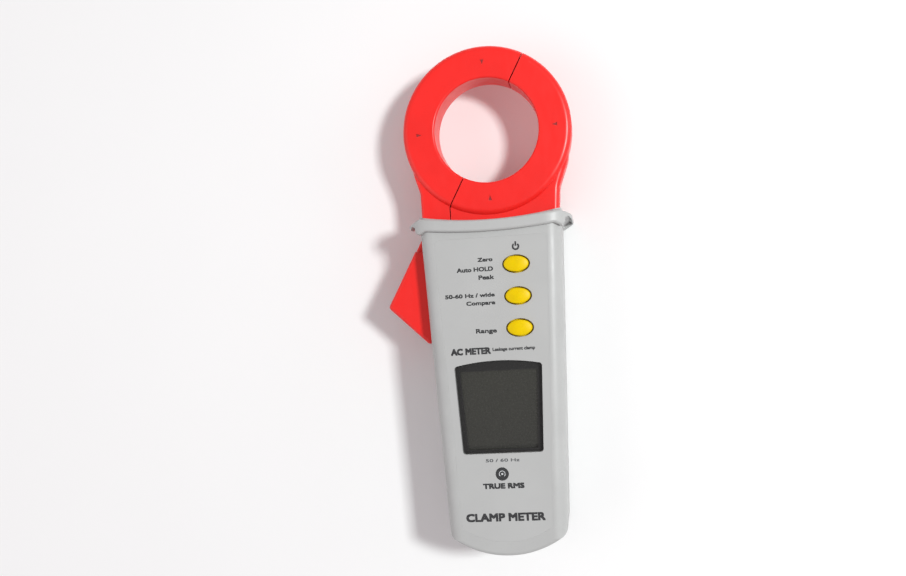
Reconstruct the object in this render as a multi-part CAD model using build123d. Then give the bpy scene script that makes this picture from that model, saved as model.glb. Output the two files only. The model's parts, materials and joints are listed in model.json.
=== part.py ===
from build123d import *
import math
import os

# Hand-held leakage clamp meter, lying on its back, in millimetres.
#
# X runs across the meter, Y along it towards the jaw and Z up out of the front face.
# The origin is on the flat back, on the centre line, about halfway along the case.
# Places along the meter are distances below the jaw axis, which along() turns into Y.

# ---- driving dimensions: the jaw
JAW_Y = 97.0  # jaw axis, measured from the origin
BORE_R = 20.0  # radius of the aperture that the conductor passes through
RING_R = 32.5  # outside radius of the jaw ring
RING_THICK = 14.0
NECK_THICK = 11.0  # neck, lever and trigger, thinner than the ring
SEAM_ANGLE = 61.0  # the straight cut across the ring, from +X
SEAM_GAP = 0.25  # from the cut to each shell
CORE_GAP = 0.04  # from the cut to each core face
RIM_ROUND = (0.8, 2.4)  # rounding of the ring's rims, round the aperture and outside
NECK_ROUND = {"fixed": 2.0, "moving": 1.2}
NECK_SHOWN = 25.5  # rims further out than this show, and are rounded
JAW_WALL = 1.6
CAVITY_R = (21.7, 30.8)  # hollow of the ring, radially
CORE_R = (23.6, 28.6)
CORE_THICK = 7.0
BOBBIN_WALL = 0.6
COIL_BUILD = 0.8
COIL_END = 6.0  # from the cut to the coil's end
MARK_R = 26.0  # alignment marks, radius of their middle

# ---- driving dimensions: the pivot, lever and trigger
PIVOT = (-19.5, -42.5)  # from the jaw axis
PIN_R = 2.0
BUSH_R = (2.06, 3.2)
BOSS_R = 7.0
SPRING_R = 4.3
SPRING_WIRE = 0.8
SPRING_PITCH = 0.85
SPRING_TURNS = 3  # whole turns, besides the part turn between the legs
SPRING_Z = 18.7
TRIGGER_TIP = (-42.1, -65.7)
TRIGGER_FOOT = (-26.6, -80.9)
TRIGGER_TOP = -44.6  # Y at which the trigger grows thicker than the lever
TRIGGER_THICK = 15.0
TRIGGER_ROUND = 1.6
LEVER_SEAT = 13.6  # Z that the heads of the lever's screws bear on

# ---- driving dimensions: the case
CASE_THICK = 34.0
MID_Z = CASE_THICK / 2
WALL = 2.2
NECK_HALF = 26.8  # half the case's width at its top and at its foot
FOOT_HALF = 22.0
FOOT_CORNER = 152.0
FOOT_END = 159.7
FOOT_ROUND = 4.5
COLLAR_MID = 34.8  # the concave top edge of the case
COLLAR_SIDE = 32.3
SHOULDER = 5.0
FOOT_RIM = 1.4
BACK_ROUND = 4.0
BARRIER_PROUD = 2.0
BARRIER_HALF = 30.6
BARRIER_ROUND = 1.0
BARRIER_TIP = 1.2  # rounding of its corners in plan
BARRIER_CORNER = 12.0  # rounding of its front corners, seen from the jaw
BARRIER_SIDE = 32.1  # where that rounding would end, outside the fins' tips
SLOT_GAP = 0.4  # above and below the moving lever
SLOT_END = 81.9
TONGUE = (1.2, 1.3)  # inset and height of the lip between the two halves

# ---- driving dimensions: face, keys and display
KEY_X = 9.1
KEY_STATIONS = {"power": 52.1, "compare": 63.9, "range": 75.7}
KEY_SIZE = (9.2, 5.8)
KEY_GAP = 0.5
KEY_PROUD = 1.7
KEY_DOME = 13.0  # radius of the crown
LABEL_INSET = 5.3
LABEL_THICK = 0.26
WINDOW_TOP = 89.2
WINDOW_FOOT = 121.6
WINDOW_HALF = (16.2, 14.8)  # at the top and at the foot
WINDOW_RISE = 1.7
BOARD_Z = (26.2, 27.8)
BOARD_TOP = 49.2
BOARD_FOOT = 146.0
LCD_Z = (28.7, 30.9)

# ---- driving dimensions: battery bay and screws
CELL_R = 5.2
CELL_LENGTH = 44.5
CELL_X = 5.6
CELL_Z = 8.6
BAY_TOP = 97.5
BAY_FOOT = 145.5
BAY_HALF = 11.3
BAY_ROOF = 14.4
COVER_HALF = 12.9
COVER_TOP = 88.6
COVER_FOOT = 146.7
NECK_SCREWS = ((-8.5, 38.9), (18.5, 38.9))
FOOT_SCREWS = ((-13.5, 150.5), (13.5, 150.5))
LEVER_SCREWS = ((-35.0, 65.6), (-22.6, 63.0))
BOARD_SCREWS = ((19.0, 57.5), (-19.3, 83.4), (-15.2, 141.0), (15.2, 141.0))
COVER_SCREW = 91.8
SHANK_R = 1.25
THREAD_R = 1.3
CLEAR_R = 1.5
HEAD_R = 2.5
HEAD_HIGH = 1.9

SLOT_Z = (MID_Z - NECK_THICK / 2 - SLOT_GAP, MID_Z + NECK_THICK / 2 + SLOT_GAP)
TRIGGER_SLOT_Z = (MID_Z - TRIGGER_THICK / 2 - SLOT_GAP, MID_Z + TRIGGER_THICK / 2 + SLOT_GAP)
INNER_FRONT = CASE_THICK - WALL
parts = {}


# ---- helpers
def along(station):
    """Y of a place given as its distance below the jaw axis."""
    return JAW_Y - station


def prism(face, low, high):
    """A flat face drawn at Z 0, raised to stand from low to high."""
    return extrude(Pos(0, 0, low) * face, high - low)


def polygon(points, rounded=0.0):
    """A face through points, with every corner rounded alike."""
    face = make_face(Polyline(*points, close=True))
    return fillet(face.vertices(), rounded) if rounded else face


def block(x, y, z):
    """A box from three (low, high) pairs."""
    size = [high - low for low, high in (x, y, z)]
    middle = [(high + low) / 2 for low, high in (x, y, z)]
    return Pos(*middle) * Box(*size)


def rod(x, y, low, high, radius):
    """An upright cylinder."""
    return Pos(x, y, (low + high) / 2) * Cylinder(radius, high - low)


def wire(points, radii, diameter):
    """A round lead along straight runs joined by arcs."""
    path = FilletPolyline(*points, radius=radii)
    return sweep(Plane(origin=path @ 0, z_dir=path % 0) * Circle(diameter / 2), path)


def case_half(station):
    """Half the case's width at a place along it."""
    share = (station - COLLAR_SIDE) / (FOOT_CORNER - COLLAR_SIDE)
    return NECK_HALF + (FOOT_HALF - NECK_HALF) * share


def top_arc(half, side, middle):
    """The concave edge that follows the ring, from left to right."""
    return ThreePointArc((-half, along(side)), (0, along(middle)), (half, along(side)))


def case_outline(inset=0.0):
    """Plan of the case, tapering to a rounded foot."""
    top = top_arc(NECK_HALF, COLLAR_SIDE, COLLAR_MID)
    right = Line((NECK_HALF, along(COLLAR_SIDE)), (FOOT_HALF, along(FOOT_CORNER)))
    ends = (FOOT_HALF, along(FOOT_CORNER)), (-FOOT_HALF, along(FOOT_CORNER))
    foot = ThreePointArc(ends[0], (0, along(FOOT_END)), ends[1])
    left = Line((-FOOT_HALF, along(FOOT_CORNER)), (-NECK_HALF, along(COLLAR_SIDE)))
    face = make_face([top, right, foot, left])
    corners = [v for v in face.vertices() if v.Y < along(FOOT_CORNER - 1)]
    face = fillet(corners, FOOT_ROUND)
    return offset(face, amount=-inset, kind=Kind.INTERSECTION) if inset else face


def below(station):
    """A tall block holding everything further from the jaw than station."""
    return block((-60, 60), (along(200), along(station)), (-10, 60))


def window_outline(grow=0.0):
    """Plan of the display window: a trapezoid with a bowed top edge."""
    top_half, foot_half = (half + grow for half in WINDOW_HALF)
    top, foot = along(WINDOW_TOP - grow), along(WINDOW_FOOT + grow)
    bow = ThreePointArc((-top_half, top), (0, top + WINDOW_RISE), (top_half, top))
    sides = Polyline((top_half, top), (foot_half, foot), (-foot_half, foot), (-top_half, top))
    face = make_face([bow, sides])
    return fillet(face.vertices(), 1.2)


def key_outline(station, grow=0.0):
    """Plan of an oval key."""
    long, short = KEY_SIZE
    return Pos(KEY_X, along(station)) * Ellipse(long / 2 + grow, short / 2 + grow)


def screw(x, y, seat, length, head=HEAD_R, shank=SHANK_R):
    """A pan-head screw driven in from the back: its head lies under Z seat."""
    head_solid = rod(x, y, seat - HEAD_HIGH, seat, head)
    head_solid = chamfer(head_solid.edges().group_by(Axis.Z)[0], 0.5)
    slot = Box(head * 1.2, 0.55, 1.8) + Box(0.55, head * 1.2, 1.8)
    return head_solid + rod(x, y, seat, seat + length, shank) - Pos(x, y, seat - HEAD_HIGH) * slot


# ---- case
def barrier():
    """The raised finger barrier round the top of the case, both halves at once."""
    top = top_arc(26.2, 33.0, 35.1)
    right = Polyline(
        (26.2, along(33.0)),
        (BARRIER_HALF, along(35.1)),
        (BARRIER_HALF, along(36.7)),
        (26.5, along(39.2)),
        (24.0, along(38.0)),
    )
    low = top_arc(24.0, 38.0, 39.4)
    left = mirror(right, Plane.YZ)
    face = make_face([top, *right.edges(), low, *left.edges()])
    face = fillet(face.vertices(), BARRIER_TIP)
    high = CASE_THICK + BARRIER_PROUD
    profile = Plane.XZ * Pos(0, high / 2) * Rectangle(2 * BARRIER_SIDE, high)
    profile = fillet([v for v in profile.vertices() if v.Z > MID_Z], BARRIER_CORNER)
    solid = prism(face, 0, high) & extrude(profile, 100, both=True)
    front = [e for e in solid.edges() if (e @ 0.5).Z > high - BARRIER_CORNER - 0.1]
    solid = fillet([e for e in front if abs((e @ 0).X - (e @ 1).X) > 1e-6], BARRIER_ROUND)
    solid = chamfer(solid.edges().group_by(Axis.Z)[0], 0.6)
    return solid - undercut(1) - undercut(-1)


def undercut(side):
    """The hollow along the lower slope of one of the barrier's two fins."""
    corners = [(26.8, along(40.4)), (31.0, along(37.5)), (29.2, along(35.5)), (26.9, along(37.3))]
    face = polygon(corners, 0.4)
    hollow = prism(face, 2.0, CASE_THICK - 1.0)
    return hollow if side > 0 else mirror(hollow, Plane.YZ)


def case_solid():
    """The closed outside of the whole case. Its wide shoulders run along the sides only."""
    solid = prism(case_outline(), 0, CASE_THICK)
    for level, radius in ((-1, FOOT_RIM), (0, BACK_ROUND)):
        rim = solid.edges().group_by(Axis.Z)[level]
        solid = fillet([e for e in rim if (e @ 0.5).Y < along(COLLAR_MID)], radius)
    top, foot = along(COLLAR_SIDE - 3), along(FOOT_END + 3)
    top_half, foot_half = case_half(COLLAR_SIDE - 3), case_half(FOOT_END + 3)
    wedge = polygon([(-top_half, top), (top_half, top), (foot_half, foot), (-foot_half, foot)])
    bar = prism(wedge, -1, CASE_THICK)
    sides = [e for e in bar.edges().group_by(Axis.Z)[-1] if abs((e @ 0.5).X) > 1]
    bar = fillet(sides, SHOULDER)
    return (solid & bar) + barrier()


def cavity():
    """The hollow of the case, as one solid."""
    solid = prism(case_outline(WALL), WALL, INNER_FRONT)
    rims = solid.edges().filter_by(lambda e: abs((e @ 0).Z - (e @ 1).Z) < 1e-6)
    return fillet(rims.filter_by(lambda e: (e @ 0.5).Y < along(60) or abs((e @ 0.5).X) > 20), 1.8)


def lever_slot():
    """The opening that the neck enters and that the lever and trigger swing in."""
    neck = block((-45, NECK_HALF - WALL), (along(48), along(20)), SLOT_Z)
    lever = block((-45, -17), (along(SLOT_END), along(40)), SLOT_Z)
    trigger = block((-45, -17), (along(SLOT_END), JAW_Y + TRIGGER_TOP + 1.4), TRIGGER_SLOT_Z)
    return neck + lever + trigger


def pivot_at():
    return PIVOT[0], JAW_Y + PIVOT[1]


def parting_groove():
    """A fine groove round the outside where the two halves meet."""
    low, high = MID_Z - 0.25, MID_Z + 0.25
    ring = prism(case_outline(-0.5), low, high) - prism(case_outline(0.3), low - 1, high + 1)
    return ring & below(44)


def front_case():
    shell = (case_solid() - cavity() - lever_slot()) & block((-60, 60), (-90, 90), (MID_Z, 60))
    px, py = pivot_at()
    shell += rod(px, py, SLOT_Z[1], INNER_FRONT + 0.1, 4.5)
    shell += rod(-8.2, along(45.9), 20.3, INNER_FRONT + 0.1, 1.2)
    for x, station in NECK_SCREWS:
        shell += rod(x, along(station), SLOT_Z[1] - SLOT_GAP + 0.02, INNER_FRONT + 0.1, 3.2)
    for x, station in FOOT_SCREWS:
        shell += rod(x, along(station), MID_Z, INNER_FRONT + 0.1, 3.0) & cavity()
    for x, station in BOARD_SCREWS:
        shell += rod(x, along(station), BOARD_Z[1] + 0.02, INNER_FRONT + 0.1, 2.4) & cavity()
    cuts = [rod(px, py, SLOT_Z[1] - 0.1, 30.6, PIN_R + 0.02)]
    cuts += [rod(x, along(s), SLOT_Z[1] - 1, 30.6, THREAD_R) for x, s in NECK_SCREWS]
    cuts += [rod(x, along(s), MID_Z - 0.1, 28.2, THREAD_R) for x, s in FOOT_SCREWS]
    cuts += [rod(x, along(s), BOARD_Z[1] - 0.1, INNER_FRONT - 0.2, 0.85) for x, s in BOARD_SCREWS]
    cuts += [prism(key_outline(s, KEY_GAP), INNER_FRONT - 1, 60) for s in KEY_STATIONS.values()]
    cuts.append(prism(window_outline(0.1), INNER_FRONT - 1, 60))
    cuts.append(prism(label_outline(0.02), CASE_THICK - 0.3, CASE_THICK + 0.5) & below(41.5))
    rebate = prism(case_outline(TONGUE[0] - 0.1), MID_Z - 1, MID_Z + TONGUE[1] + 0.2)
    rebate &= below(SLOT_END + 1.7)
    for x, station in FOOT_SCREWS:
        rebate -= rod(x, along(station), MID_Z - 2, MID_Z + 3, 3.0)
    cuts += [rebate, parting_groove()]
    for cut in cuts:
        shell -= cut
    return shell


def bay_walls():
    """Battery bay inside the back of the case, with its roof and end walls."""
    across = (-BAY_HALF - 2.9, BAY_HALF + 2.9)
    outer = block(across, (along(BAY_FOOT + 1.6), along(BAY_TOP - 1.5)), (0, BAY_ROOF + 1.4))
    shelf = block(across, (along(BAY_FOOT + 2.6), along(COVER_TOP - 1.4)), (0, 4.0))
    post = rod(0, along(COVER_SCREW), 0, 9.5, 3.0)
    room = block((-BAY_HALF, BAY_HALF), (along(BAY_FOOT), along(BAY_TOP)), (-1, BAY_ROOF))
    return outer + shelf + post - room


def rear_case():
    half = block((-60, 60), (-90, 90), (-5, MID_Z))
    outside = case_solid()
    shell = (outside - cavity() - lever_slot()) & half
    shell += bay_walls() & outside
    px, py = pivot_at()
    shell += rod(px, py, WALL - 0.1, SLOT_Z[0], 4.5)
    for x, station in NECK_SCREWS:
        shell += rod(x, along(station), WALL - 0.1, MID_Z - NECK_THICK / 2 - 0.02, 3.4)
    for x, station in FOOT_SCREWS:
        shell += rod(x, along(station), WALL - 0.1, MID_Z - 0.05, 3.3) & outside
    rim = prism(case_outline(TONGUE[0]), MID_Z - 1, MID_Z + TONGUE[1])
    rim -= prism(case_outline(WALL), MID_Z - 2, MID_Z + 3)
    rim &= below(SLOT_END + 2)
    for x, station in FOOT_SCREWS:
        rim -= rod(x, along(station), MID_Z - 2, MID_Z + 3, 3.3)
    shell += rim
    hole_half = COVER_HALF + 0.2
    hole_length = (along(COVER_FOOT + 0.2), along(COVER_TOP - 0.2))
    cuts = [
        block((-hole_half, hole_half), hole_length, (-1, WALL + 0.1)),
        block((-BAY_HALF, BAY_HALF), (along(BAY_FOOT), along(BAY_TOP)), (-1, BAY_ROOF)),
        rod(0, along(COVER_SCREW), WALL, 8.6, THREAD_R),
        rod(px, py, 3.4, SLOT_Z[0] + 0.1, PIN_R + 0.02),
        prism(rating_outline(0.1), -1, 0.3),
        parting_groove(),
    ]
    for side in (-1, 1):
        tab = (side * 7 - 2.7, side * 7 + 2.7)
        cuts.append(block(tab, (along(COVER_FOOT), along(BAY_FOOT - 1)), (WALL - 0.1, WALL + 1.3)))
        slot = (side * CELL_X - 2.3, side * CELL_X + 2.3)
        cuts.append(block(slot, (along(BAY_TOP + 0.6), along(BAY_TOP)), (BAY_ROOF - 1, BAY_ROOF + 3)))
    cuts += [rod(x, along(s), -1, 3.0, HEAD_R + 0.3) for x, s in NECK_SCREWS]
    cuts += [rod(x, along(s), 0, 12, CLEAR_R) for x, s in NECK_SCREWS]
    cuts += [rod(x, along(s), -1, 8.0, HEAD_R + 0.3) for x, s in FOOT_SCREWS]
    cuts += [rod(x, along(s), 0, MID_Z + 1, CLEAR_R) for x, s in FOOT_SCREWS]
    for cut in cuts:
        shell -= cut
    return shell


def rating_outline(grow=0.0):
    """Plan of the plate on the back."""
    return Pos(0, along(64)) * RectangleRounded(34 + 2 * grow, 30 + 2 * grow, 2)


# ---- face
def label_outline(grow=0.0):
    """Plan of the front overlay, without its openings."""
    inner = offset(case_outline(), amount=-LABEL_INSET + grow, kind=Kind.INTERSECTION)
    clip = Pos(0, along(41.6 - grow) - 60) * Rectangle(100, 120)
    face = inner & clip
    corners = [v for v in face.vertices() if v.Y > along(43)]
    return fillet(corners, 2.0)


def face_label():
    sheet = prism(label_outline(), CASE_THICK - 0.02 - LABEL_THICK, CASE_THICK - 0.02)
    for station in KEY_STATIONS.values():
        sheet -= prism(key_outline(station, KEY_GAP + 0.05), 30, 40)
    return sheet - prism(window_outline(0.2), 30, 40)


def display_window():
    solid = prism(window_outline(), INNER_FRONT + 0.05, CASE_THICK - 0.1)
    return chamfer(solid.edges().group_by(Axis.Z)[-1], 0.25)


def display_bezel():
    """Black frame behind the window. It holds the display against the board."""
    y_top, y_foot = along(WINDOW_TOP - 3.3), along(WINDOW_FOOT + 1.4)
    body = block((-18.2, 18.2), (y_foot, y_top), (BOARD_Z[1] + 0.05, INNER_FRONT - 0.02))
    glass = block((-16.9, 16.9), (y_foot + 1.2, y_top - 1.2), (BOARD_Z[1], LCD_Z[1] + 0.1))
    top_half, foot_half = (half - 1.7 for half in WINDOW_HALF)
    top, foot = along(WINDOW_TOP + 2.0), along(WINDOW_FOOT - 1.1)
    view = polygon([(-top_half, top), (top_half, top), (foot_half, foot), (-foot_half, foot)], 0.6)
    return body - glass - prism(view, 20, 40)


def lcd_glass():
    y_top, y_foot = along(WINDOW_TOP - 2.0), along(WINDOW_FOOT + 0.1)
    back = block((-16.8, 16.8), (y_foot, y_top), (LCD_Z[0], LCD_Z[0] + 1.1))
    front = block((-16.8, 16.8), (y_foot + 2.4, y_top - 2.4), (LCD_Z[0] + 1.1, LCD_Z[1]))
    return back + front


def lcd_connector_strips():
    spots = (along(WINDOW_TOP - 0.9), along(WINDOW_FOOT - 1.0))
    return [block((-14, 14), (y - 0.9, y + 0.9), (BOARD_Z[1] + 0.02, LCD_Z[0] - 0.02)) for y in spots]


# ---- board and what is on it
def main_board():
    top, foot = along(BOARD_TOP), along(BOARD_FOOT)
    top_half, foot_half = case_half(BOARD_TOP) - WALL - 1.2, case_half(BOARD_FOOT) - WALL - 1.6
    corners = [(-top_half, top), (top_half, top), (foot_half, foot), (-foot_half, foot)]
    board = prism(polygon(corners, 1.5), *BOARD_Z)
    for x, station in BOARD_SCREWS:
        board -= rod(x, along(station), 20, 30, 1.1)
    return board


def board_screws():
    return [screw(x, along(s), BOARD_Z[0] - 0.02, 5.0, head=1.9, shank=0.8) for x, s in BOARD_SCREWS]


def hang(x, station, size, corner=0.0):
    """A component on the underside of the board."""
    high = BOARD_Z[0] - 0.02
    body = Pos(x, along(station), high - size[2] / 2) * Box(*size)
    return fillet(body.edges().filter_by(Axis.Z), corner) if corner else body


def measuring_chips():
    """Converter, microcontroller and amplifier, each a moulded body with its rows of leads."""
    made = []
    bodies = ((0, 112, 14, 14, 11), (-9, 92, 5.2, 9, 6), (9, 92, 5.2, 9, 6))
    for x, station, width, length, count in bodies:
        chip = hang(x, station, (width, length, 1.8))
        for side in (-1, 1):
            for n in range(count):
                y_off = (n - (count - 1) / 2) * 1.1
                chip += hang(x + side * (width / 2 + 0.5), station + y_off, (1.4, 0.45, 0.5))
        made.append(chip)
    return made


def capacitors():
    top = BOARD_Z[0] - 0.02
    cans = [rod(x, along(s), top - 7.5, top, 2.6) for x, s in ((14.0, 101), (14.0, 108))]
    cans = [chamfer(can.edges().group_by(Axis.Z)[0], 0.4) for can in cans]
    films = [hang(x, s, (3.0, 7.2, 6.0), 0.8) for x, s in ((-14.5, 104), (-14.5, 114))]
    return cans + films


def trimmers():
    made = []
    for x in (-9, 0, 9):
        body = hang(x, 131, (6.0, 6.0, 4.2), 0.4)
        y, low = along(131), BOARD_Z[0] - 0.02 - 4.2
        body -= rod(x, y, low - 1, low + 0.6, 2.0) - rod(x, y, low - 2, low + 0.7, 1.5)
        made.append(body - Pos(x, y, low) * Box(3.4, 0.6, 1.2))
    return made


def crystal():
    body = hang(7.8, 124, (10.0, 4.0, 3.2))
    return fillet(body.edges().filter_by(Axis.Z), 1.9)


def buzzer():
    top = BOARD_Z[0] - 0.02
    can = rod(15.0, along(68.5), top - 3.2, top, 5.4)
    can = chamfer(can.edges().group_by(Axis.Z)[0], 0.5)
    return can - rod(15.0, along(68.5), top - 4, top - 2.2, 1.0)


def key_switches():
    low, high = BOARD_Z[1] + 0.02, 29.5
    made = []
    for station in KEY_STATIONS.values():
        y = along(station)
        body = block((KEY_X - 2.9, KEY_X + 2.9), (y - 2.9, y + 2.9), (low, high))
        body = chamfer(body.edges().filter_by(Axis.Z), 0.5)
        made.append(body - rod(KEY_X, y, 28.0, 30, 1.58))
    return made


def key_cap(station):
    """A domed oval key with the flange that keeps it in the case."""
    crown = CASE_THICK + KEY_PROUD
    sides = prism(key_outline(station), INNER_FRONT - 0.1, crown)
    sides &= Pos(KEY_X, along(station), crown - KEY_DOME) * Rot(90, 0, 0) * Sphere(KEY_DOME)
    sides = fillet([e for e in sides.edges() if (e @ 0.5).Z > CASE_THICK], 0.6)
    flange = prism(key_outline(station, 1.0), INNER_FRONT - 1.1, INNER_FRONT - 0.1)
    return sides + flange


def key_plunger(station):
    """The switch's own plunger, which travels with the key above it."""
    y = along(station)
    return rod(KEY_X, y, 28.6, INNER_FRONT - 1.12, 1.5)


# ---- jaws, modelled about the jaw axis and then moved along
def seam_half(side, gap):
    """Everything on one side of the cut. Side 1 is the moving jaw's, -1 the fixed one's."""
    return Rot(0, 0, SEAM_ANGLE) * Pos(0, side * (gap + 50), MID_Z) * Box(200, 100, 100)


def on_cut(radius, side, gap=SEAM_GAP):
    """A point beside the lower end of the cut, that far from the jaw axis."""
    turn = math.radians(SEAM_ANGLE)
    return (
        -radius * math.cos(turn) - side * gap * math.sin(turn),
        -radius * math.sin(turn) + side * gap * math.cos(turn),
    )


def tube(radii, low, high):
    return rod(0, 0, low, high, radii[1]) - rod(0, 0, low - 1, high + 1, radii[0])


def ring_solid():
    """The ring with rounded rims, as a full turn."""
    low, high = MID_Z - RING_THICK / 2, MID_Z + RING_THICK / 2
    ring = tube((BORE_R, RING_R), low, high)
    for radius, rounded in zip((BORE_R, RING_R), RIM_ROUND):
        circles = ring.edges().filter_by(GeomType.CIRCLE)
        ring = fillet([e for e in circles if abs(e.radius - radius) < 1e-6], rounded)
    return ring


def fixed_neck_outline():
    """Plan of the fixed jaw's neck and of the tail clamped in the case."""
    side = [(31.6, -5.0), (30.2, -14.0), (26.6, -23.2), (25.9, -31.9)]
    tail = [(24.2, -31.9), (24.2, -46.5), (7.0, -46.5), (4.0, -44.0), (-11.8, -44.0), (-11.8, -40.0)]
    cut = [(-14.6, -36.6), (-15.68, -36.0), on_cut(32.7, -1), on_cut(30.0, -1)]
    within_ring = [(-8.0, -24.0), (4.0, -25.0), (18.0, -16.0)]
    neck = polygon(side + tail + cut + within_ring)
    bends = [v for v in neck.vertices() if v.X > 26 and -24 < v.Y < -13]
    return fillet(bends, 10.0)


def moving_neck_outline():
    """Plan of the moving jaw's neck, its lever and the trigger."""
    within_ring = [(-31.2, -6.0), (-18.5, -17.0), on_cut(30.0, 1), on_cut(32.7, 1)]
    inner_side = [(-15.98, -37.0), (-15.0, -42.5), (-14.6, -48.9), (-20.4, -76.0)]
    outer_side = [(-27.4, -39.5), (-27.1, -33.0), (-27.2, -22.3), (-29.0, -16.4)]
    arm = polygon(within_ring + inner_side + [TRIGGER_FOOT, TRIGGER_TIP] + outer_side)
    arm = fillet([v for v in arm.vertices() if v.Y < -60], 1.6)
    bends = [v for v in arm.vertices() if v.X < -26 and -41 < v.Y < -15]
    return fillet(bends, 6.0)


def trigger_block():
    """The trigger, thicker than the lever that carries it, with rounded rims."""
    top_edge = [(-25.4, TRIGGER_TOP), (-30.3, TRIGGER_TOP)]
    outline = polygon(top_edge + [TRIGGER_TIP, TRIGGER_FOOT, (-22.6, -77.8)])
    outline = fillet([v for v in outline.vertices() if v.Y < -60 and v.X < -25], 1.6)
    low, high = MID_Z - TRIGGER_THICK / 2, MID_Z + TRIGGER_THICK / 2
    solid = prism(outline, low, high)
    rims = solid.edges().group_by(Axis.Z)[0] + solid.edges().group_by(Axis.Z)[-1]
    return fillet([e for e in rims if (e @ 0.5).X < -25.4], TRIGGER_ROUND)


def alignment_mark(angle):
    """A small arrowhead let into both faces of the ring, pointing at the aperture's centre."""
    head = make_face(Polyline((MARK_R - 1.1, 0), (MARK_R + 1.1, 0.75), (MARK_R + 1.1, -0.75), close=True))
    depth, half = 0.4, RING_THICK / 2
    front = prism(head, MID_Z + half - depth, MID_Z + half + 1)
    back = prism(head, MID_Z - half - 1, MID_Z - half + depth)
    return Rot(0, 0, angle) * (front + back)


def core_window(side):
    """The passage that lets the core's ends reach the cut."""
    radii = (CORE_R[0] - 0.1, CORE_R[1] + 0.1)
    half = CORE_THICK / 2 + 0.1
    return tube(radii, MID_Z - half, MID_Z + half) & seam_half(side, -1)


def neck_solid(outline, rounded):
    """A jaw's neck, with rounded rims where it shows outside the case."""
    solid = prism(outline, MID_Z - NECK_THICK / 2, MID_Z + NECK_THICK / 2)
    for level in (0, -1):
        rim = solid.edges().group_by(Axis.Z)[level]
        solid = fillet([e for e in rim if abs((e @ 0.5).X) > NECK_SHOWN], rounded)
    return solid


def jaw_shells(side, neck, marks):
    """Both halves of one jaw's moulding, still joined, and hollow where the core runs."""
    half_cavity = RING_THICK / 2 - JAW_WALL
    solid = (ring_solid() & seam_half(side, SEAM_GAP)) + neck
    hollow = tube(CAVITY_R, MID_Z - half_cavity, MID_Z + half_cavity) & seam_half(side, 1.6)
    solid = solid - hollow - core_window(side)
    for angle in marks:
        solid -= alignment_mark(angle)
    return solid - rod(0, 0, -10, 60, BORE_R)


def split(solid, front):
    """One half of a jaw moulding, with a fine groove along its parting line."""
    room = (MID_Z, 60) if front else (-10, MID_Z)
    return solid & block((-80, 80), (-120, 80), room)


def fixed_jaw():
    neck = neck_solid(fixed_neck_outline(), NECK_ROUND["fixed"])
    solid = jaw_shells(-1, neck, (0, 270))
    inside = MID_Z - NECK_THICK / 2 + JAW_WALL, MID_Z + NECK_THICK / 2 - JAW_WALL
    pocket = prism(polygon([(1.0, -34.6), (13.0, -34.6), (13.0, -42.0), (1.0, -42.0)], 1.0), *inside)
    leads = prism(polygon([(5.5, -29.0), (9.5, -29.0), (9.5, -36.0), (5.5, -36.0)]), MID_Z - 2, MID_Z + 2)
    outlet = block((9.5, 12.8), (-48, -40), (MID_Z - 1.5, MID_Z + 1.5))
    solid = solid - pocket - leads - outlet
    for x, station in NECK_SCREWS:
        solid -= rod(x, -station, 0, 40, CLEAR_R)
    return solid


def spring_leg_points():
    """Ends of the spring's two straight legs, and the turn through which its coil runs."""
    px, py = PIVOT
    peg = (-8.2, -45.9)
    rest = (peg[0], peg[1] - 1.2 - SPRING_WIRE / 2 - 0.15)
    reach = math.hypot(rest[0] - px, rest[1] - py)
    end = math.degrees(math.atan2(rest[1] - py, rest[0] - px) - math.acos(SPRING_R / reach))
    foot = (-23.6, -58.5)
    reach_foot = math.hypot(foot[0] - px, foot[1] - py)
    start = math.degrees(math.atan2(foot[1] - py, foot[0] - px) + math.acos(SPRING_R / reach_foot))
    return start, end, math.sqrt(reach_foot**2 - SPRING_R**2), math.sqrt(reach**2 - SPRING_R**2) + 1.4


def spring_height():
    """Rise of the spring's coil from one leg to the other."""
    start, end, _, _ = spring_leg_points()
    return (((end - start) % 360) / 360 + SPRING_TURNS) * SPRING_PITCH


def jaw_spring():
    """Torsion spring round the pivot pin: one leg in the lever, the other behind the case's peg."""
    start, _, foot_length, rest_length = spring_leg_points()
    px, py = PIVOT
    coils = Pos(px, py, SPRING_Z) * Rot(0, 0, start) * Helix(SPRING_PITCH, spring_height(), SPRING_R)
    foot = Line(coils @ 0 - (coils % 0) * foot_length, coils @ 0)
    rest = Line(coils @ 1, coils @ 1 + (coils % 1) * rest_length)
    path = Wire([foot.edge(), coils.edge(), rest.edge()])
    return sweep(Plane(origin=path @ 0, z_dir=path % 0) * Circle(SPRING_WIRE / 2), path)


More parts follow.
